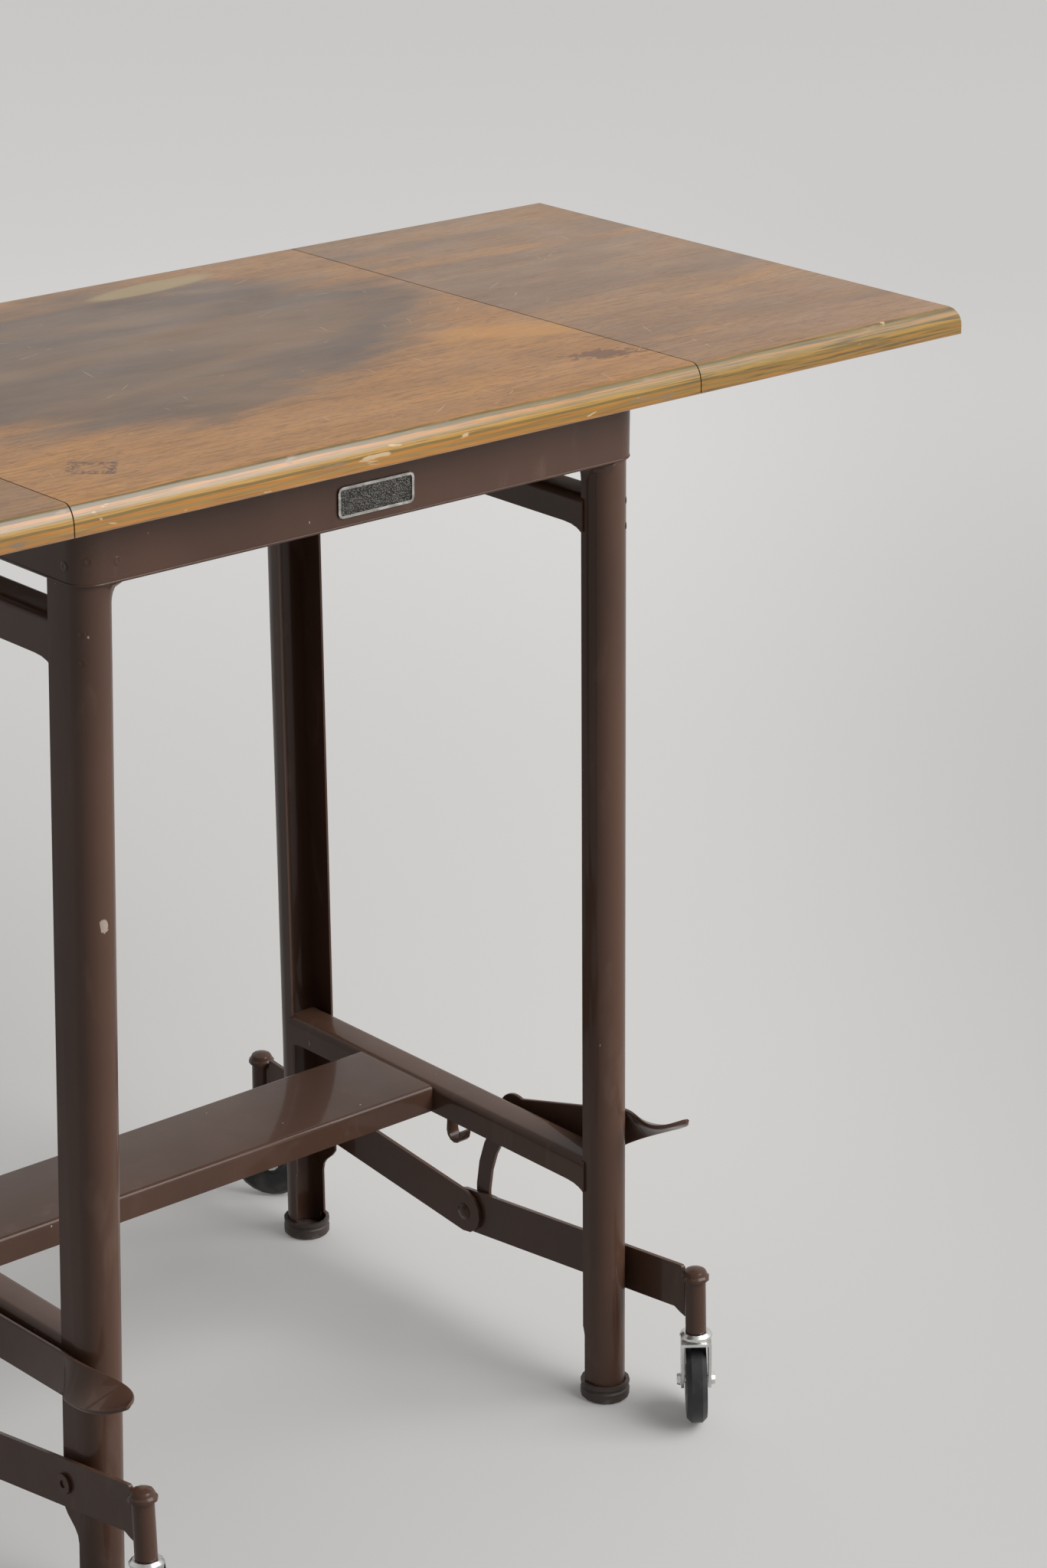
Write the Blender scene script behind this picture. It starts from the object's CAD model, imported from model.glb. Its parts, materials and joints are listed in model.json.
"""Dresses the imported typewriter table: finishes, small fittings, floor, light and camera."""

import json
import math

import bmesh
import bpy
from mathutils import Matrix, Vector
from mathutils.bvhtree import BVHTree


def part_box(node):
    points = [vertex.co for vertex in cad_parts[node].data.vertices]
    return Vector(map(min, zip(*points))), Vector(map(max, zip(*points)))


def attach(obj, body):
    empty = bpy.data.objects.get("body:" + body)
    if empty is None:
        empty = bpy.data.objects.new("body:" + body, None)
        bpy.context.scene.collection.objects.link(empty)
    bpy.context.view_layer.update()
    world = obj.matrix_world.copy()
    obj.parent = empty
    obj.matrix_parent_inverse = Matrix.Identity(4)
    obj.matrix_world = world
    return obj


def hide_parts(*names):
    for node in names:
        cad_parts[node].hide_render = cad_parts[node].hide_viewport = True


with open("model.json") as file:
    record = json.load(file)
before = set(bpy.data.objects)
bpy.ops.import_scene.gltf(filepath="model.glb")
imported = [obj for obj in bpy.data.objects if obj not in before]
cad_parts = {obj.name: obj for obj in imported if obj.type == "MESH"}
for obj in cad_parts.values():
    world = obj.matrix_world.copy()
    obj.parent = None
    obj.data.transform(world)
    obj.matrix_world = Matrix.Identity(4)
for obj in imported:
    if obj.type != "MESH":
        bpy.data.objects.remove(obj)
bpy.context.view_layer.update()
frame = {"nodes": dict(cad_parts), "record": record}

NODES = frame["nodes"]
SIDES = (("left", -1), ("right", 1))
ROWS = (("front", -1), ("back", 1))

# Photograph: frame height and focal length in pixels, camera place in metres, angles in degrees
PHOTO_HEIGHT = 2048
FOCAL_LENGTH = 5416.76
CAMERA_PLACE = (-1.3677, -1.8322, 1.2596)
CAMERA_YAW, CAMERA_PITCH, CAMERA_ROLL = 41.49, 20.41, 0.40
SENSOR = 36

# Studio: direction of its bright wall, the levels of its light, the floor's half width in metres,
# and the lamps as name, place, width in metres and power in watts
WALL_SIDE = Vector((0.64, 0.72, 0.25))
ROOM_DIM, ROOM_BRIGHT, ROOM_SEEN = 0.05, 0.7, 0.5
STUDIO_WHITE = (1.0, 0.99, 0.975, 1)
FLOOR_HALF = 14.0
LAMP_AIM = Vector((0.0, 0.0, 0.4))
LAMPS = (
    ("high_box", Vector((1.27, -1.7, 2.1)), 2.1, 70),
    ("front_box", Vector((0.95, -4.0, 2.8)), 2.6, 98),
)

# Table top in metres: height, thickness, and depth of the face veneer
TOP_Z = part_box("centre_board")[1].z
BOARD = TOP_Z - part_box("centre_board")[0].z
FACE = 0.0005

# Apron band under the top, with its rolled hem, in metres
APRON_X, APRON_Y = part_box("apron")[1].xy
APRON_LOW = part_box("apron")[0].z
APRON_CORNER, HEM_RADIUS, HEM_GAP, HEM_SPOKES = 0.0142, 0.0008, 0.006, 10

# A knock in the paint of the front left leg: its middle and half sizes in metres
LEG_KNOCK, KNOCK_SIZE = (-0.1859, -0.1611, 0.4203), (0.0022, 0.0022, 0.0045)

# Small fittings in metres: height of the centre pins, screw places along a hinge, and turned profiles as
# (radius, height) pairs from the axis out
PIN_HEIGHT, PIN_START = 0.0668, 0.15
PIN_DOME, PIN_RISE, PIN_SEAT, PIN_STEPS = 0.0040, 0.0011, 0.0006, 28
PIN_WASHER = [(0.0052, 0.0006), (0.0056, 0.0003), (0.0056, -0.0002)]
SCREW_PLACES = (-0.13, -0.08, -0.03, 0.03, 0.08, 0.13)
SCREW_RADIUS, SCREW_RISE, SCREW_SLOT, SCREW_SUNK, SLOT_FLOOR = 0.0029, 0.0009, 0.0009, -0.0004, 0.0001
SCREW_INSET, SCREW_TURN, BELOW_TOP = 0.32, 0.9, 0.6
WELD_PROFILE = [(0, 0.00005), (0.0007, 0.00006), (0.0013, 0.00022),
                (0.0017, 0.0003), (0.0022, 0.0002), (0.0030, -0.0001)]
WELD_REACH = 0.02
DOME_STEPS = 6

# Spot welds of the front left corner as node, place and direction out of the surface
CORNER_WELDS = [
    ("apron", (-0.1717, -0.1632, 0.6206), (0, -1, 0)),
    ("apron", (-0.1887, -0.1608, 0.6229), (-0.61, -0.79, 0)),
    ("apron", (-0.1952, -0.1485, 0.6190), (-1, 0, 0)),
    ("leg", (-0.1912, -0.1563, 0.5831), (-0.83, -0.56, 0)),
    ("leg", (-0.1914, -0.1564, 0.5677), (-0.83, -0.56, 0)),
]

# Foot levers: pivot in metres, lean in radians, rest angles in degrees, and the shape in millimetres
LEVER_PIVOT = Vector((0.1895172, -0.048, 0.1499742))
LEVER_LEAN = 0.0185529
LEVER_REST = {"left": 1.0, "right": 15.5}
LEVER_FACE, LEVER_SHEET, LEVER_ROUND, LEVER_INSET = 15.7, 2.5, 0.7, 0.5
LEVER_TOP, LEVER_LOW, LEVER_BOSS, LEVER_STRIP = 12.5, -14.5, 15.5, 92.0
LEVER_BORES, BORE_STEPS = ((0, 3.3), (-17, 2.8)), 32
MILLIMETRE = 0.001

# Bezier points of the pedal's two long edges, as steps outward, forward and up from the strip's end
PEDAL_TOP_EDGE = ((0, 0, 0), (6, 30, 2), (-24, 45, -13), (4.8, 66, -5.8))
PEDAL_LOW_EDGE = ((0, 0, 0), (14, 14, 7), (24, 52, 10.5), (6.4, 66, 19.6))
PEDAL_STEPS = 48

# Edges sharper than this many degrees stay sharp
SMOOTH_ANGLE = 31


# Node helpers

def node(tree, kind, inputs=None, **settings):
    """Adds a node; an input is either a plain value or another node's output."""
    made = tree.nodes.new(kind)
    for name, value in settings.items():
        setattr(made, name, value)
    for key, value in (inputs or {}).items():
        if isinstance(value, bpy.types.NodeSocket):
            tree.links.new(value, made.inputs[key])
        else:
            made.inputs[key].default_value = value
    return made


def socket_name(key):
    """A shader socket's name from a keyword, such as base_color."""
    return key.replace("_", " ").title().replace("Ior", "IOR")


class Finish:
    """A material whose pattern is laid out in the table's own coordinates, in metres."""

    def __init__(self, name, **shader):
        self.material = bpy.data.materials.new(name)
        self.material.use_nodes = True
        self.tree = self.material.node_tree
        self.tree.nodes.clear()
        self.shader = node(self.tree, "ShaderNodeBsdfPrincipled")
        for key, value in shader.items():
            self.shader.inputs[socket_name(key)].default_value = value
        output = node(self.tree, "ShaderNodeOutputMaterial")
        self.tree.links.new(self.shader.outputs["BSDF"], output.inputs["Surface"])
        self.place = node(self.tree, "ShaderNodeTexCoord").outputs["Object"]
        axes = node(self.tree, "ShaderNodeSeparateXYZ", {0: self.place})
        self.x, self.y, self.z = axes.outputs

    def math(self, operation, a, b=0.0):
        return node(self.tree, "ShaderNodeMath", {0: a, 1: b}, operation=operation).outputs[0]

    def plus(self, a, b):
        return self.math("ADD", a, b)

    def less(self, a, b):
        return self.math("SUBTRACT", a, b)

    def times(self, a, b):
        return self.math("MULTIPLY", a, b)

    def scaled(self, stretch, shift=(0, 0, 0)):
        mapping = {"Vector": self.place, "Scale": stretch, "Location": shift}
        return node(self.tree, "ShaderNodeMapping", mapping).outputs[0]

    def noise(self, stretch, detail=3.0, distortion=0.0, shift=(0, 0, 0)):
        inputs = {"Vector": self.scaled(stretch, shift), "Scale": 1.0}
        inputs.update({"Detail": detail, "Distortion": distortion})
        return node(self.tree, "ShaderNodeTexNoise", inputs).outputs["Fac"]

    def cells(self, stretch):
        inputs = {"Vector": self.scaled(stretch), "Scale": 1.0}
        return node(self.tree, "ShaderNodeTexVoronoi", inputs, feature="F1").outputs["Distance"]

    def step(self, value, low, high):
        """0 below low and 1 above high, with a soft step between; low may be the larger."""
        inputs = {"Value": value, "From Min": low, "From Max": high}
        made = node(self.tree, "ShaderNodeMapRange", inputs, interpolation_type="SMOOTHSTEP")
        return made.outputs["Result"]

    def mix(self, share, a, b):
        made = node(self.tree, "ShaderNodeMix", data_type="RGBA", blend_type="MIX")
        for key, value in (("Factor_Float", share), ("A_Color", a), ("B_Color", b)):
            socket = next(s for s in made.inputs if s.identifier == key)
            if isinstance(value, bpy.types.NodeSocket):
                self.tree.links.new(value, socket)
            else:
                socket.default_value = (*value, 1) if key != "Factor_Float" else value
        return next(s for s in made.outputs if s.identifier == "Result_Color")

    def bands(self, value, stops):
        """Flat bands of colour, each from its stop to the next."""
        made = node(self.tree, "ShaderNodeValToRGB", {0: value})
        made.color_ramp.interpolation = "CONSTANT"
        elements = made.color_ramp.elements
        while len(elements) < len(stops):
            elements.new(1.0)
        for element, (at, colour) in zip(elements, stops):
            element.position = at
            element.color = (*colour, 1)
        return made.outputs["Color"]

    def turned(self, centre, half, turn):
        """Place along and across a patch of the table top, each 1 at the patch's half size."""
        cos, sin = math.cos(math.radians(turn)), math.sin(math.radians(turn))
        x = self.less(self.x, centre[0])
        y = self.less(self.y, centre[1])
        along = self.plus(self.times(x, cos / half[0]), self.times(y, sin / half[0]))
        across = self.plus(self.times(x, -sin / half[1]), self.times(y, cos / half[1]))
        return along, across

    def square(self, centre, half, turn=0.0):
        """Distance from a rectangle's middle, 1 on its rim."""
        along, across = self.turned(centre, half, turn)
        return self.math("MAXIMUM", self.math("ABSOLUTE", along), self.math("ABSOLUTE", across))

    def oval(self, centre, half, turn=0.0, wobble=None):
        """Distance from an oval's middle, 1 on its rim."""
        along, across = self.turned(centre, half, turn)
        flat = node(self.tree, "ShaderNodeCombineXYZ", {0: along, 1: across})
        length = node(self.tree, "ShaderNodeVectorMath", {0: flat.outputs[0]}, operation="LENGTH")
        distance = length.outputs["Value"]
        return self.plus(distance, wobble) if wobble else distance

    def bump(self, height, distance, strength=1.0):
        inputs = {"Height": height, "Distance": distance, "Strength": strength}
        made = node(self.tree, "ShaderNodeBump", inputs)
        self.tree.links.new(made.outputs["Normal"], self.shader.inputs["Normal"])

    def drive(self, **sockets):
        for key, value in sockets.items():
            self.tree.links.new(value, self.shader.inputs[socket_name(key)])


# Finishes

def ply_colours(finish):
    """Bands of the plywood's edge, by depth under the face."""
    wobble = finish.noise((25, 25, 60), detail=2)
    depth = finish.less(TOP_Z, finish.z)
    depth = finish.plus(depth, finish.times(finish.less(wobble, 0.5), 0.0016))
    orange, yellow, olive = (0.37, 0.15, 0.02), (0.40, 0.215, 0.04), (0.16, 0.105, 0.024)
    grey, face, base = (0.25, 0.155, 0.045), (0.33, 0.15, 0.04), (0.10, 0.06, 0.026)
    grime = (0.105, 0.072, 0.02)
    bands = [face, grime, orange, grey, yellow, olive, orange, grey, orange, base]
    starts = [0.0, 0.05, 0.19, 0.29, 0.40, 0.52, 0.61, 0.74, 0.83, 0.955]
    share = finish.math("DIVIDE", depth, BOARD)
    colour = finish.bands(share, list(zip(starts, bands)))
    streaks = finish.noise((30, 30, 1500), detail=5, distortion=0.4)
    colour = finish.mix(finish.times(finish.step(streaks, 0.45, 0.7), 0.75), colour, (0.16, 0.10, 0.035))
    colour = finish.mix(finish.times(finish.step(streaks, 0.42, 0.25), 0.4), colour, (0.48, 0.29, 0.09))
    handled = finish.step(finish.x, -0.02, 0.28)
    colour = finish.mix(finish.times(handled, 0.5), colour, (0.19, 0.125, 0.035))
    lines = finish.step(finish.noise((16, 16, 800), 5, 0.5, (2, 5, 1)), 0.50, 0.60)
    return finish.mix(finish.times(finish.times(handled, lines), 0.7), colour, (0.07, 0.05, 0.026))


def grain(finish):
    """Long grain along the table, in broad bands and fine pores."""
    broad = finish.noise((2.2, 26, 26), detail=4, distortion=0.9)
    fine = finish.noise((34, 400, 400), detail=5, distortion=0.3)
    pores = finish.noise((170, 1300, 1300), detail=3)
    return broad, fine, pores


def veneer(name, light, dark, streak, worn):
    """Varnished face veneer over plywood; worn adds the marks of one board to its colour."""
    finish = Finish(name, specular_ior_level=0.34, coat_roughness=0.16)
    broad, fine, pores = grain(finish)
    colour = finish.mix(finish.step(broad, 0.3, 0.72), light, dark)
    colour = finish.mix(finish.step(finish.noise((3, 11, 11), 3, 1.2, (4, 1, 0)), 0.5, 0.75), colour, streak)
    colour = finish.mix(finish.times(finish.step(fine, 0.42, 0.72), 0.5), colour, (0.12, 0.065, 0.03))
    colour = finish.mix(finish.times(finish.step(pores, 0.52, 0.68), 0.5), colour, (0.075, 0.04, 0.02))
    colour = worn(finish, colour)
    scratches = scratch_marks(finish)
    colour = finish.mix(finish.times(scratches, 0.55), colour, (0.52, 0.38, 0.22))
    edge = finish.step(finish.less(TOP_Z, finish.z), FACE, 1.6 * FACE)
    under = finish.step(finish.less(finish.z, TOP_Z - BOARD), 1.6 * FACE, FACE)
    plies = edge_wear(finish, ply_colours(finish))
    colour = finish.mix(edge, colour, plies)
    bare = finish.mix(finish.step(fine, 0.3, 0.8), (0.27, 0.16, 0.085), (0.15, 0.085, 0.045))
    colour = finish.mix(under, colour, bare)
    finish.drive(base_color=colour)
    varnish = finish.times(finish.step(finish.x, 0.12, -0.08), edge)
    finish.drive(coat_weight=finish.plus(finish.times(varnish, 0.6), 0.10))
    rough = finish.plus(finish.times(finish.noise((18, 40, 40), 4), 0.24), 0.29)
    finish.drive(roughness=rough)
    relief = finish.plus(finish.times(fine, 0.6), finish.times(pores, -0.5))
    relief = finish.less(relief, finish.times(scratches, 0.8))
    rilled = finish.times(finish.noise((40, 40, 1300), 4), edge)
    relief = finish.plus(relief, finish.times(rilled, 0.9))
    finish.bump(relief, 0.00012, 0.6)
    return finish.material


def scratch_marks(finish):
    """Short fine lines in three directions, broken up by noise."""
    total = None
    for turn, shift in ((24, 0.0), (-38, 3.1), (78, 7.7)):
        cos, sin = math.cos(math.radians(turn)), math.sin(math.radians(turn))
        across = finish.plus(finish.times(finish.x, -sin), finish.times(finish.y, cos))
        bend = finish.times(finish.noise((9, 9, 9), 2, 0, (shift, 0, 0)), 0.05)
        line = finish.math("ABSOLUTE", finish.math("SINE", finish.times(finish.plus(across, bend), 170)))
        thin = finish.step(line, 0.055, 0.02)
        part = finish.step(finish.noise((55, 55, 55), 1, 0, (0, shift, 5)), 0.66, 0.74)
        mark = finish.times(thin, part)
        total = mark if total is None else finish.math("MAXIMUM", total, mark)
    return total


def edge_wear(finish, colour):
    """Pale chips where the varnish has left the rounded edge."""
    chips = finish.step(finish.noise((38, 38, 120), 4, 0.6, (2, 8, 1)), 0.665, 0.70)
    colour = finish.mix(chips, colour, (0.45, 0.32, 0.18))
    dark = finish.step(finish.noise((30, 30, 160), 4, 0.4, (7, 2, 3)), 0.66, 0.72)
    return finish.mix(dark, colour, (0.20, 0.13, 0.07))


def centre_wear(finish, colour):
    """The grey handled stain in the middle, a pale spill at the back and two scuffs at the front."""
    soft = finish.times(finish.less(finish.noise((7, 22, 1), 4, 0.8), 0.5), 0.9)
    reach = finish.oval((0.005, 0.03), (0.215, 0.135), 12, soft)
    stain = finish.step(reach, 1.1, 0.7)
    clouds = finish.step(finish.noise((5, 26, 1), 5, 0.6, (1, 5, 0)), 0.36, 0.66)
    middle = finish.mix(clouds, (0.150, 0.092, 0.055), (0.085, 0.064, 0.052))
    broken = finish.step(finish.noise((9, 9, 1), 3, 0, (3, 3, 0)), 0.3, 0.6)
    rim = finish.times(finish.step(reach, 0.45, 0.82), broken)
    grey = finish.mix(rim, middle, (0.062, 0.050, 0.046))
    colour = finish.mix(finish.times(stain, 0.85), colour, grey)
    spill = finish.step(finish.oval((0.088, 0.157), (0.052, 0.011), 6, soft), 1.1, 0.75)
    colour = finish.mix(finish.times(spill, 0.8), colour, (0.34, 0.25, 0.11))
    amber = finish.step(finish.oval((0.185, -0.062), (0.06, 0.02), -25, soft), 1.2, 0.5)
    colour = finish.mix(finish.times(amber, 0.6), colour, (0.42, 0.20, 0.05))
    speckle = finish.step(finish.noise((520, 520, 1), 4), 0.40, 0.56)
    patch = finish.square((-0.170, -0.140), (0.0125, 0.011), -40)
    worn = finish.times(finish.step(patch, 1.12, 0.95), finish.step(patch, 0.25, 0.75))
    colour = finish.mix(finish.times(finish.times(worn, speckle), 0.9), colour, (0.085, 0.04, 0.024))
    ragged = finish.times(finish.less(finish.noise((150, 260, 1), 5, 0.8), 0.5), 4.2)
    smear = finish.step(finish.oval((0.192, -0.137), (0.026, 0.010), -20, ragged), 1.0, 0.6)
    return finish.mix(finish.times(smear, 0.8), colour, (0.105, 0.046, 0.028))


def leaf_wear(finish, colour):
    """A thin grey haze in long clouds."""
    haze = finish.step(finish.noise((4, 9, 1), 4, 0.8, (6, 2, 0)), 0.42, 0.68)
    return finish.mix(finish.times(haze, 0.42), colour, (0.135, 0.088, 0.060))


def enamel():
    """Glossy dark brown stove enamel with a faint orange-peel skin, rubbed spots and tiny chips."""
    finish = Finish("brown_enamel", specular_ior_level=0.13, coat_weight=0.36, coat_roughness=0.07)
    broad = finish.step(finish.noise((9, 9, 5), 4, 0.3), 0.3, 0.7)
    colour = finish.mix(broad, (0.062, 0.031, 0.020), (0.086, 0.043, 0.028))
    rub = finish.step(finish.noise((60, 60, 18), 5, 0.4, (3, 3, 3)), 0.58, 0.78)
    colour = finish.mix(finish.times(rub, 0.45), colour, (0.135, 0.082, 0.06))
    chips = finish.step(finish.noise((150, 150, 90), 2, 0, (5, 1, 9)), 0.775, 0.80)
    chips = finish.math("MAXIMUM", chips, knock(finish, LEG_KNOCK, KNOCK_SIZE))
    colour = finish.mix(chips, colour, (0.36, 0.29, 0.24))
    finish.drive(base_color=colour)
    rough = finish.plus(finish.times(finish.noise((35, 35, 35), 4), 0.26), 0.29)
    finish.drive(roughness=finish.plus(rough, finish.times(rub, 0.12)))
    peel = finish.plus(finish.noise((420, 420, 420), 2), finish.times(finish.noise((40, 40, 40), 2), 2.5))
    ripple = finish.noise((70, 70, 330), 3, 1.5)
    peel = finish.plus(peel, finish.times(ripple, finish.times(corner_mask(finish), 3.5)))
    peel = finish.less(peel, finish.times(chips, 2.0))
    finish.bump(peel, 0.00012, 0.4)
    return finish.material


def knock(finish, place, half):
    """1 inside a ragged oval lump of the given half sizes about a place, 0 outside."""
    offset = node(finish.tree, "ShaderNodeVectorMath", {0: finish.place, 1: place}, operation="SUBTRACT")
    scaled = node(finish.tree, "ShaderNodeVectorMath", {0: offset.outputs[0], 1: half}, operation="DIVIDE")
    length = node(finish.tree, "ShaderNodeVectorMath", {0: scaled.outputs[0]}, operation="LENGTH")
    ragged = finish.times(finish.less(finish.noise((500, 500, 300), 3), 0.5), 1.6)
    return finish.step(finish.plus(length.outputs["Value"], ragged), 1.05, 0.85)


def corner_mask(finish):
    """1 on the hammered corners of the apron, 0 elsewhere."""
    width = finish.step(finish.math("ABSOLUTE", finish.x), APRON_X - 0.05, APRON_X - 0.015)
    depth = finish.step(finish.math("ABSOLUTE", finish.y), APRON_Y - 0.03, APRON_Y - 0.01)
    height = finish.step(finish.z, APRON_LOW, APRON_LOW + 0.004)
    return finish.times(finish.times(width, depth), height)


def foot_plastic():
    """Dull dark brown moulding, scuffed pale near the floor."""
    finish = Finish("foot_moulding", specular_ior_level=0.4)
    rubbed = finish.step(finish.noise((160, 160, 220), 4), 0.4, 0.7)
    scuff = finish.times(finish.step(finish.z, 0.006, 0.0), rubbed)
    colour = finish.mix(finish.noise((30, 30, 30), 4), (0.040, 0.030, 0.026), (0.066, 0.048, 0.040))
    finish.drive(base_color=finish.mix(scuff, colour, (0.16, 0.13, 0.11)))
    finish.drive(roughness=finish.plus(finish.times(finish.noise((90, 90, 90), 3), 0.3), 0.34))
    finish.bump(finish.noise((700, 700, 700), 3), 0.0001, 0.4)
    return finish.material


def zinc():
    """Bright zinc plate, with cloudy spangle and grime."""
    finish = Finish("zinc_plate", metallic=1.0)
    cloud = finish.noise((140, 140, 140), 4, 0.5)
    colour = finish.mix(cloud, (0.58, 0.58, 0.57), (0.80, 0.80, 0.79))
    grime = finish.step(finish.noise((85, 85, 85), 5, 0.3, (4, 4, 4)), 0.6, 0.76)
    finish.drive(base_color=finish.mix(finish.times(grime, 0.55), colour, (0.21, 0.19, 0.165)))
    finish.drive(roughness=finish.plus(finish.times(cloud, 0.28), 0.14))
    finish.bump(finish.noise((900, 900, 900), 2), 0.00005, 0.5)
    return finish.material


def rubber():
    """Black rubber, greyed by dust."""
    finish = Finish("wheel_rubber", specular_ior_level=0.45)
    dust = finish.step(finish.noise((75, 75, 75), 5, 0.4), 0.45, 0.8)
    finish.drive(base_color=finish.mix(dust, (0.014, 0.014, 0.015), (0.052, 0.050, 0.047)))
    finish.drive(roughness=finish.plus(finish.times(dust, 0.25), 0.42))
    finish.bump(finish.noise((620, 620, 620), 3), 0.00012, 0.5)
    return finish.material


def plate_metal():
    """Blank stamped plate: worn bright rim, dark pebbled field."""
    finish = Finish("blank_plate", metallic=1.0)
    field = finish.step(finish.less(finish.y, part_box("nameplate")[0].y), 0.0001, 0.0003)
    pebble = finish.cells((1500, 1500, 1500))
    tops = finish.step(pebble, 0.55, 0.1)
    stipple = finish.mix(tops, (0.045, 0.042, 0.038), (0.25, 0.24, 0.225))
    worn = finish.step(finish.noise((120, 120, 260), 4, 0.4), 0.35, 0.7)
    rim = finish.mix(worn, (0.33, 0.315, 0.295), (0.60, 0.585, 0.56))
    finish.drive(base_color=finish.mix(field, rim, stipple))
    finish.drive(roughness=finish.plus(finish.times(worn, 0.2), 0.26))
    finish.bump(finish.times(pebble, finish.times(field, -1.0)), 0.0003, 0.8)
    return finish.material


def floor_paper():
    """Pale seamless paper, a little darker in front, which keeps nearly one tone to the eye all round."""
    finish = Finish("floor_paper", roughness=0.9, specular_ior_level=0.0)
    away = finish.oval((1.1, 0.8), (1, 1))
    tone = finish.plus(away, finish.times(finish.noise((1.5, 1.5, 1.5), 3), 0.2))
    colour = finish.mix(finish.step(tone, 0.35, 2.2), (0.50, 0.494, 0.484), (0.39, 0.385, 0.378))
    aside = finish.less(finish.times(finish.x, 0.75), finish.times(finish.y, 0.66))
    dim = finish.times(finish.step(aside, 0.2, 0.8), finish.step(away, 3.0, 1.6))
    finish.drive(base_color=finish.mix(dim, colour, (0.33, 0.326, 0.32)))
    rays = node(finish.tree, "ShaderNodeLightPath").outputs
    seen = finish.plus(rays["Is Camera Ray"], finish.plus(rays["Is Glossy Ray"], rays["Is Transmission Ray"]))
    glow = finish.times(finish.step(finish.oval((0, 0), (1, 1)), 0.6, 2.8), 0.27)
    glow = finish.plus(glow, 0.115)
    lit = finish.times(finish.step(finish.oval((1.0, -2.6), (2.2, 1.7)), 1.0, 0.3), 0.7)
    glow = finish.times(glow, finish.less(1.0, lit))
    finish.drive(emission_strength=finish.times(glow, seen))
    finish.shader.inputs["Emission Color"].default_value = STUDIO_WHITE
    return finish.material


FINISHES = {
    "brown_paint": enamel(),
    "foot_plastic": foot_plastic(),
    "zinc": zinc(),
    "rubber": rubber(),
    "plate_metal": plate_metal(),
}
LEAF_FINISH = veneer("leaf_veneer", (0.30, 0.165, 0.075), (0.20, 0.115, 0.065),
                     (0.36, 0.175, 0.055), leaf_wear)
CENTRE_FINISH = veneer("centre_veneer", (0.37, 0.18, 0.058), (0.29, 0.14, 0.048),
                       (0.41, 0.19, 0.05), centre_wear)
BOARDS = {"centre_board": CENTRE_FINISH, "left_leaf": LEAF_FINISH, "right_leaf": LEAF_FINISH}


# Shading of the solids

def smooth_by_angle(limit):
    """A modifier group that shades round faces smooth and keeps edges sharper than the limit."""
    group = bpy.data.node_groups.new("smooth_by_angle", "GeometryNodeTree")
    group.interface.new_socket("Geometry", in_out="INPUT", socket_type="NodeSocketGeometry")
    group.interface.new_socket("Geometry", in_out="OUTPUT", socket_type="NodeSocketGeometry")
    source = node(group, "NodeGroupInput")
    welded = node(group, "GeometryNodeMergeByDistance", {"Geometry": source.outputs[0], "Distance": 1e-6})
    angle = node(group, "GeometryNodeInputMeshEdgeAngle")
    sharp = node(group, "FunctionNodeCompare", {0: angle.outputs["Unsigned Angle"], 1: math.radians(limit)},
                 data_type="FLOAT", operation="GREATER_THAN")
    faces = node(group, "GeometryNodeSetShadeSmooth", {"Geometry": welded.outputs[0]}, domain="FACE")
    edges = node(group, "GeometryNodeSetShadeSmooth",
                 {"Geometry": faces.outputs[0], "Selection": sharp.outputs[0], "Shade Smooth": False},
                 domain="EDGE")
    result = node(group, "NodeGroupOutput")
    group.links.new(edges.outputs[0], result.inputs[0])
    return group


SMOOTH = smooth_by_angle(SMOOTH_ANGLE)


def dress_solids():
    """Gives every solid of the frame its finish and smooth rounds."""
    slots = {part["node"]: part["material_slot"] for part in frame["record"]["subparts"]}
    for name, solid in NODES.items():
        finish = BOARDS.get(name) or FINISHES[slots[name]]
        solid.data.materials.clear()
        solid.data.materials.append(finish)
        solid.modifiers.new("smooth", "NODES").node_group = SMOOTH


dress_solids()


# Small fittings

def piece(name, mesh, point, normal, body):
    """A small part that stands on a surface and moves with a body."""
    made = bpy.data.objects.new(name, mesh)
    bpy.context.scene.collection.objects.link(made)
    turn = Vector((0, 0, 1)).rotation_difference(Vector(normal))
    made.matrix_world = Matrix.Translation(point) @ turn.to_matrix().to_4x4()
    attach(made, body)
    return made


def finished(shape, name, slot):
    """Turns a bmesh into a smooth-shaded mesh with its finish."""
    mesh = bpy.data.meshes.new(name)
    shape.to_mesh(mesh)
    shape.free()
    mesh.materials.append(FINISHES[slot])
    mesh.shade_smooth()
    return mesh


def turned(profile, steps=24):
    """A shell turned about Z from (radius, height) pairs that start on the axis."""
    shape = bmesh.new()
    previous = [shape.verts.new((0, 0, profile[0][1]))] * steps
    for radius, height in profile[1:]:
        angles = [2 * math.pi * k / steps for k in range(steps)]
        ring = [shape.verts.new((radius * math.cos(a), radius * math.sin(a), height)) for a in angles]
        for k in range(steps):
            corners = [previous[k], ring[k], ring[(k + 1) % steps], previous[(k + 1) % steps]]
            shape.faces.new(dict.fromkeys(corners))
        previous = ring
    return shape


def dome(radius, rise, base=0.0):
    """The profile of a domed head, from its top down to its rim."""
    angles = [math.pi / 2 * k / DOME_STEPS for k in range(DOME_STEPS + 1)]
    return [(radius * math.sin(a), base + rise * math.cos(a)) for a in angles]


def dimple_mesh():
    """A spot weld: a shallow dish inside a soft raised rim."""
    return finished(turned(WELD_PROFILE), "spot_weld", "brown_paint")


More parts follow.
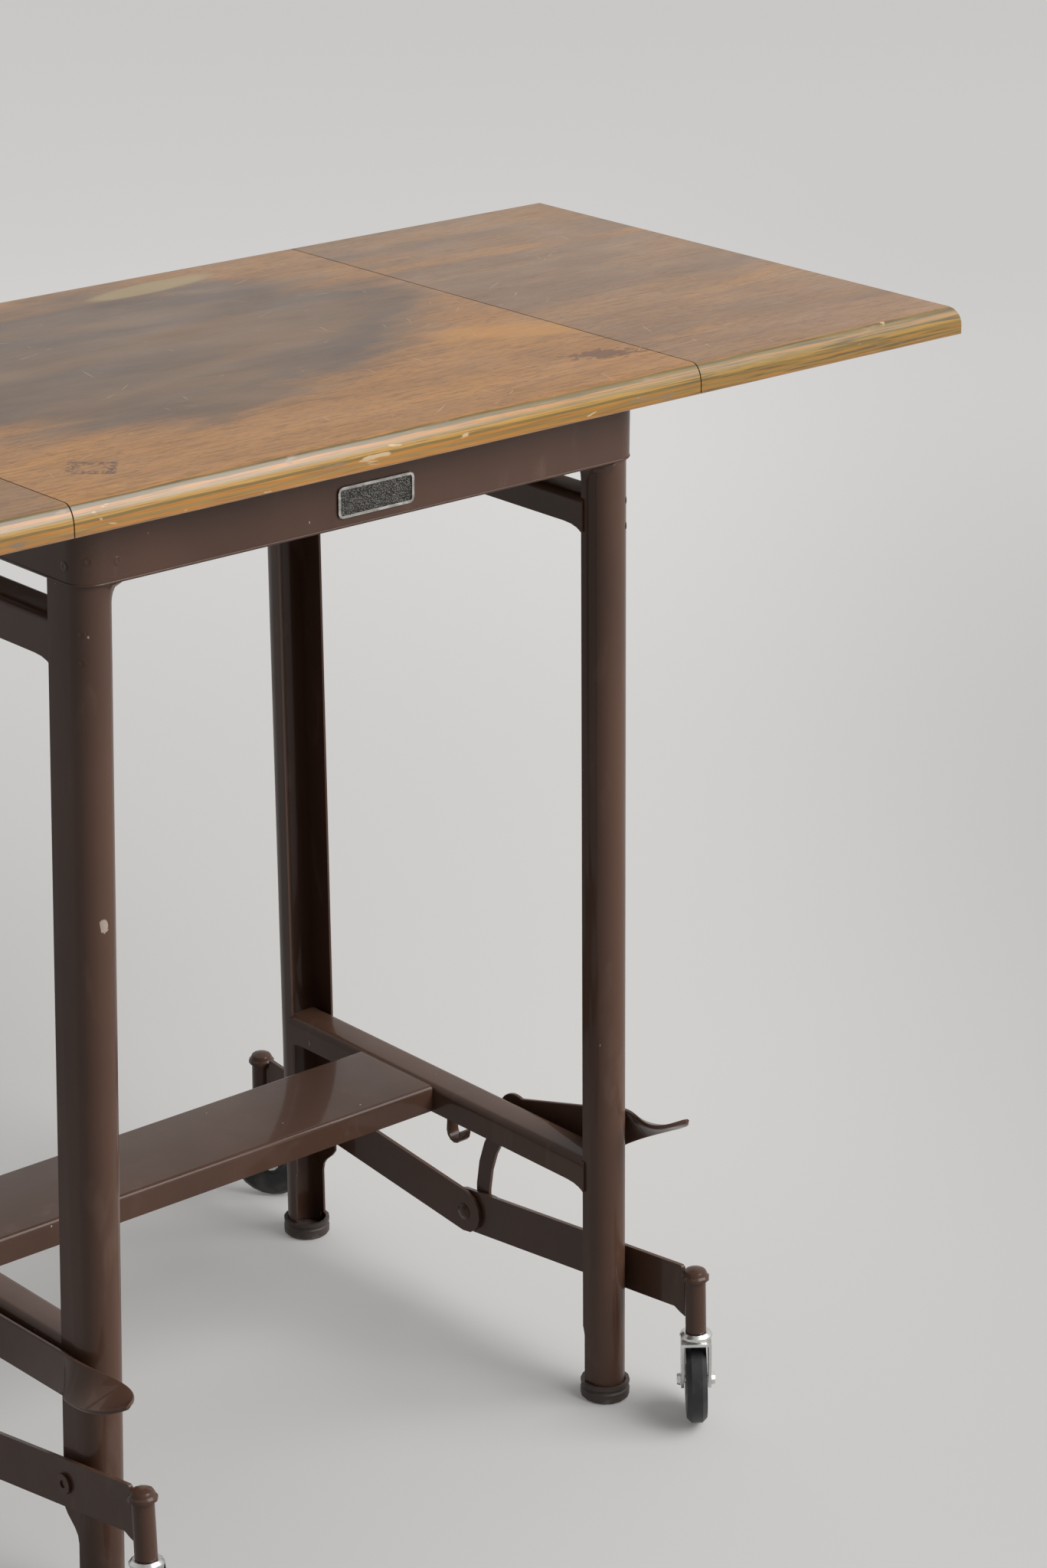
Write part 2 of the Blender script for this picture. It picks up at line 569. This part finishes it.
def screw_mesh():
    """A round screw head with a slot across it."""
    head = turned(dome(SCREW_RADIUS, SCREW_RISE) + [(SCREW_RADIUS, SCREW_SUNK)])
    halves = bmesh.new()
    for side in (1, -1):
        half = head.copy()
        every = half.verts[:] + half.edges[:] + half.faces[:]
        cut = bmesh.ops.bisect_plane(half, geom=every, plane_co=(side * SCREW_SLOT / 2, 0, 0),
                                     plane_no=(side, 0, 0), clear_inner=True)
        rim = [e for e in cut["geom_cut"] if isinstance(e, bmesh.types.BMEdge)]
        wall = bmesh.ops.extrude_edge_only(half, edges=rim)
        for vertex in (v for v in wall["geom"] if isinstance(v, bmesh.types.BMVert)):
            vertex.co.z = min(vertex.co.z, SLOT_FLOOR)
        part = bpy.data.meshes.new("half_head")
        half.to_mesh(part)
        half.free()
        halves.from_mesh(part)
        bpy.data.meshes.remove(part)
    head.free()
    plate = bpy.data.meshes.new("slot_floor")
    floor = turned([(0, SLOT_FLOOR), (SCREW_RADIUS * 0.98, SLOT_FLOOR)])
    floor.to_mesh(plate)
    floor.free()
    halves.from_mesh(plate)
    bpy.data.meshes.remove(plate)
    return finished(halves, "slotted_screw", "zinc")


def touch(name, start, heading):
    """Point and normal where a line from start first meets a solid."""
    mesh = NODES[name].data
    tree = BVHTree.FromPolygons([v.co for v in mesh.vertices], [p.vertices[:] for p in mesh.polygons])
    point, normal = tree.ray_cast(Vector(start), Vector(heading))[:2]
    return point, normal


def pedal_edge(controls, height, share):
    """A point of the pedal's edge, on a Bezier curve that runs on from the strip's edge."""
    weights = [(1 - share) ** 3, 3 * share * (1 - share) ** 2, 3 * share ** 2 * (1 - share), share ** 3]
    out, along, rise = (sum(w * c[k] for w, c in zip(weights, controls)) for k in range(3))
    return Vector((LEVER_FACE + out, -LEVER_STRIP - along, height + rise))


def lever_edges():
    """Pairs of upper and lower points along the lever: round boss, straight strip, twisted pedal."""
    pairs = []
    for angle in range(5, 180, 5):
        y, reach = LEVER_BOSS * math.cos(math.radians(angle)), LEVER_BOSS * math.sin(math.radians(angle))
        high, low = (reach, -reach) if y > 0 else (max(reach, LEVER_TOP), min(-reach, LEVER_LOW))
        pairs.append((Vector((LEVER_FACE, y, high)), Vector((LEVER_FACE, y, low))))
    for share in (k / PEDAL_STEPS for k in range(PEDAL_STEPS + 1)):
        high = pedal_edge(PEDAL_TOP_EDGE, LEVER_TOP, share)
        pairs.append((high, pedal_edge(PEDAL_LOW_EDGE, LEVER_LOW, share)))
    return pairs


def sheet_ring(high, low):
    """The rounded outline of the sheet between an upper and a lower edge."""
    down = low - high
    width = down.length
    down.normalize()
    out = Vector((-down.z, 0, down.x)).normalized()
    bend = min(LEVER_ROUND, width / 2.6)
    inset = min(LEVER_INSET, (width - 2 * bend) / 3)
    near, far, deep = bend, width - bend, LEVER_SHEET - bend
    outline = []
    for along, across, start in ((near, bend, 180), (far, bend, 270), (far, deep, 0), (near, deep, 90)):
        for angle in (math.radians(start + turn) for turn in (0, 30, 60, 90)):
            outline.append((along + bend * math.cos(angle), across + bend * math.sin(angle)))
        if start == 180:
            outline += [(near + inset, 0), (far - inset, 0)]
        if start == 0:
            outline += [(far - inset, LEVER_SHEET), (near + inset, LEVER_SHEET)]
    return [high + along * down + across * out for along, across in outline]


def bored(mesh, place):
    """The lever's sheet with the bores for its rivet and for the strap's stud cut through it."""
    sheet = bpy.data.objects.new("sheet", mesh)
    spare = [sheet]
    for along, radius in LEVER_BORES:
        drill = bmesh.new()
        middle = place @ Matrix.Translation((LEVER_FACE + LEVER_SHEET / 2, along, 0))
        middle = middle @ Matrix.Rotation(math.pi / 2, 4, "Y")
        bmesh.ops.create_cone(drill, cap_ends=True, segments=BORE_STEPS, radius1=radius, radius2=radius,
                              depth=4 * LEVER_SHEET, matrix=middle)
        bmesh.ops.recalc_face_normals(drill, faces=drill.faces)
        drilled = bpy.data.meshes.new("drill")
        drill.to_mesh(drilled)
        drill.free()
        spare.append(bpy.data.objects.new("drill", drilled))
        cut = sheet.modifiers.new("bore", "BOOLEAN")
        cut.operation, cut.solver, cut.object = "DIFFERENCE", "EXACT", spare[-1]
    for one in spare:
        bpy.context.scene.collection.objects.link(one)
    whole = bpy.data.meshes.new_from_object(sheet.evaluated_get(bpy.context.evaluated_depsgraph_get()))
    for one in spare:
        old = one.data
        bpy.data.objects.remove(one)
        bpy.data.meshes.remove(old)
    whole.set_sharp_from_angle(angle=math.radians(SMOOTH_ANGLE))
    return whole


def pressed_levers():
    """Foot levers with a smoothly pressed pedal, in place of the plainer solids."""
    for hand, side in SIDES:
        raised = Matrix.Rotation(-math.radians(LEVER_REST[hand]), 4, "X")
        turn = Matrix.Rotation(-side * LEVER_LEAN, 4, "Y") @ raised
        pivot = Vector((side * LEVER_PIVOT.x, LEVER_PIVOT.y, LEVER_PIVOT.z))
        scale = Matrix.Diagonal((side * MILLIMETRE, MILLIMETRE, MILLIMETRE, 1))
        place = Matrix.Translation(pivot) @ turn @ scale
        shape = bmesh.new()
        previous = first = None
        for high, low in lever_edges():
            ring = [shape.verts.new(place @ point) for point in sheet_ring(high, low)]
            first = first or ring
            for k in range(len(ring)):
                if previous:
                    shape.faces.new((previous[k - 1], previous[k], ring[k], ring[k - 1]))
            previous = ring
        shape.faces.new(first)
        shape.faces.new(previous)
        bmesh.ops.recalc_face_normals(shape, faces=shape.faces)
        mesh = bored(finished(shape, f"{hand}_lever_sheet", "brown_paint"), place)
        body = f"{hand}_lever_body"
        lever = piece(f"{hand}_pressed_lever", mesh, (0, 0, 0), (0, 0, 1), body)
        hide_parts(f"{hand}_foot_lever")


def arm_pins():
    """The riveted end of each centre pin, on the inner side of the crossed caster arms."""
    profile = dome(PIN_DOME, PIN_RISE, PIN_SEAT) + PIN_WASHER
    mesh = finished(turned(profile, PIN_STEPS), "pin_head", "brown_paint")
    for hand, side in SIDES:
        spot, normal = touch(f"back_{hand}_caster_arm", (side * PIN_START, 0, PIN_HEIGHT), (side, 0, 0))
        piece(f"{hand}_pin_head", mesh, spot, normal, f"back_{hand}_arm_body")


def apron_hems():
    """The rolled lower edge of the apron, in a front and a back run that stop short of the stays' notches."""
    reach_x, reach_y = APRON_X - HEM_RADIUS / 2, APRON_Y - HEM_RADIUS / 2
    bend = APRON_CORNER - HEM_RADIUS / 2
    turns = [math.radians(a) for a in range(0, 91, 9)]
    corner = [(reach_x - bend + bend * math.cos(a), reach_y - bend + bend * math.sin(a)) for a in turns]
    half = [(reach_x, HEM_GAP)] + corner
    for row, side in ROWS:
        path = [(x, side * y) for x, y in half] + [(-x, side * y) for x, y in reversed(half)]
        shape = bmesh.new()
        previous = None
        for count, (x, y) in enumerate(path):
            ahead, behind = path[min(count + 1, len(path) - 1)], path[max(count - 1, 0)]
            along = Vector((ahead[0] - behind[0], ahead[1] - behind[1], 0)).normalized()
            out = Vector((along.y, -along.x, 0))
            ring = []
            for angle in (2 * math.pi * k / HEM_SPOKES for k in range(HEM_SPOKES)):
                spoke = math.cos(angle) * out + math.sin(angle) * Vector((0, 0, 1))
                ring.append(shape.verts.new(Vector((x, y, 0)) + HEM_RADIUS * spoke))
            for k in range(HEM_SPOKES):
                if previous:
                    shape.faces.new((previous[k - 1], previous[k], ring[k], ring[k - 1]))
            if count in (0, len(path) - 1):
                shape.faces.new(ring)
            previous = ring
        bmesh.ops.recalc_face_normals(shape, faces=shape.faces)
        mesh = finished(shape, f"{row}_hem", "brown_paint")
        piece(f"{row}_apron_hem", mesh, (0, 0, APRON_LOW + HEM_RADIUS), (0, 0, 1), "frame")


def spot_welds():
    """The welds of one corner, mirrored to the others, but none on the apron at the front right."""
    mesh = dimple_mesh()
    corners = [(f"{row}_{hand}", -across, -along) for row, along in ROWS for hand, across in SIDES]
    for place, flip_x, flip_y in corners:
        mirror = Matrix.Diagonal((flip_x, flip_y, 1))
        for count, (carrier, point, out) in enumerate(CORNER_WELDS):
            if carrier == "apron" and place == "front_right":
                continue
            outside = mirror @ (Vector(point) + WELD_REACH * Vector(out))
            solid = "apron" if carrier == "apron" else f"{place}_leg"
            spot, normal = touch(solid, outside, -(mirror @ Vector(out)))
            piece(f"{place}_weld_{count}", mesh, spot, normal, "frame")


def hinge_screws():
    """Screws through both plates of each hinge, from below."""
    mesh = screw_mesh()
    for hand, side in SIDES:
        for plate, body in (("board_hinge_plate", "frame"), ("leaf_hinge_plate", f"{hand}_leaf_body")):
            low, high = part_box(f"{hand}_{plate}")
            inner, outer = sorted((abs(low.x), abs(high.x)))
            knuckle, far = (inner, outer) if plate.startswith("leaf") else (outer, inner)
            x = side * (far + (knuckle - far) * SCREW_INSET)
            for count, y in enumerate(SCREW_PLACES):
                spot, normal = touch(f"{hand}_{plate}", (x, y, BELOW_TOP), (0, 0, 1))
                screw = piece(f"{hand}_{plate}_screw_{count}", mesh, spot, normal, body)
                screw.rotation_euler.rotate_axis("Z", SCREW_TURN * count)


spot_welds()
hinge_screws()
apron_hems()
arm_pins()
pressed_levers()


# Stage

def photo_camera():
    """The photograph's own camera."""
    yaw, pitch, roll = (math.radians(a) for a in (CAMERA_YAW, CAMERA_PITCH, CAMERA_ROLL))
    ahead = Vector((math.sin(yaw) * math.cos(pitch), math.cos(yaw) * math.cos(pitch), -math.sin(pitch)))
    level = Vector((math.cos(yaw), -math.sin(yaw), 0))
    above = level.cross(ahead)
    right = level * math.cos(roll) + above * math.sin(roll)
    up = above * math.cos(roll) - level * math.sin(roll)
    data = bpy.data.cameras.new("photo_camera")
    data.sensor_fit = "VERTICAL"
    data.sensor_height = SENSOR
    data.lens = FOCAL_LENGTH / PHOTO_HEIGHT * SENSOR
    camera = bpy.data.objects.new("photo_camera", data)
    turn = Matrix((right, up, -ahead)).transposed()
    camera.matrix_world = Matrix.Translation(CAMERA_PLACE) @ turn.to_4x4()
    bpy.context.scene.collection.objects.link(camera)
    bpy.context.scene.camera = camera


def studio_floor():
    """A wide pale floor that fills the photograph's frame."""
    mesh = bpy.data.meshes.new("studio_floor")
    corners = [(x * FLOOR_HALF, y * FLOOR_HALF, 0) for x, y in ((-1, -1), (1, -1), (1, 1), (-1, 1))]
    mesh.from_pydata(corners, [], [(0, 1, 2, 3)])
    mesh.materials.append(floor_paper())
    floor = bpy.data.objects.new("studio_floor", mesh)
    bpy.context.scene.collection.objects.link(floor)


def soft_box(name, place, width, power):
    """A square studio lamp turned towards the table."""
    data = bpy.data.lights.new(name, "AREA")
    data.shape = "SQUARE"
    data.size = width
    data.energy = power
    lamp = bpy.data.objects.new(name, data)
    lamp.location = place
    lamp.rotation_euler = (LAMP_AIM - place).to_track_quat("-Z", "Y").to_euler()
    bpy.context.scene.collection.objects.link(lamp)


def studio_light():
    """Light from all round: a bright wall behind to the right, a dim room opposite that still looks pale."""
    world = bpy.data.worlds.new("studio_light")
    world.use_nodes = True
    tree = world.node_tree
    heading = node(tree, "ShaderNodeTexCoord").outputs["Generated"]
    facing = node(tree, "ShaderNodeVectorMath", {0: heading, 1: WALL_SIDE}, operation="DOT_PRODUCT")
    inputs = {"Value": facing.outputs["Value"], "From Min": -0.7, "From Max": 0.8}
    inputs.update({"To Min": ROOM_DIM, "To Max": ROOM_BRIGHT})
    level = node(tree, "ShaderNodeMapRange", inputs, interpolation_type="SMOOTHSTEP").outputs["Result"]
    rays = node(tree, "ShaderNodeLightPath").outputs
    seen = node(tree, "ShaderNodeMath", {0: rays["Is Glossy Ray"], 1: rays["Is Transmission Ray"]},
                operation="ADD")
    seen = node(tree, "ShaderNodeMath", {0: rays["Is Camera Ray"], 1: seen.outputs[0]}, operation="ADD")
    shown = node(tree, "ShaderNodeMath", {0: seen.outputs[0], 1: ROOM_SEEN}, operation="MULTIPLY")
    level = node(tree, "ShaderNodeMath", {0: level, 1: shown.outputs[0]}, operation="MAXIMUM")
    background = tree.nodes["Background"]
    background.inputs["Color"].default_value = STUDIO_WHITE
    tree.links.new(level.outputs[0], background.inputs["Strength"])
    bpy.context.scene.world = world


photo_camera()
studio_floor()
studio_light()
for lamp in LAMPS:
    soft_box(*lamp)
bpy.context.scene.view_settings.view_transform = "Standard"
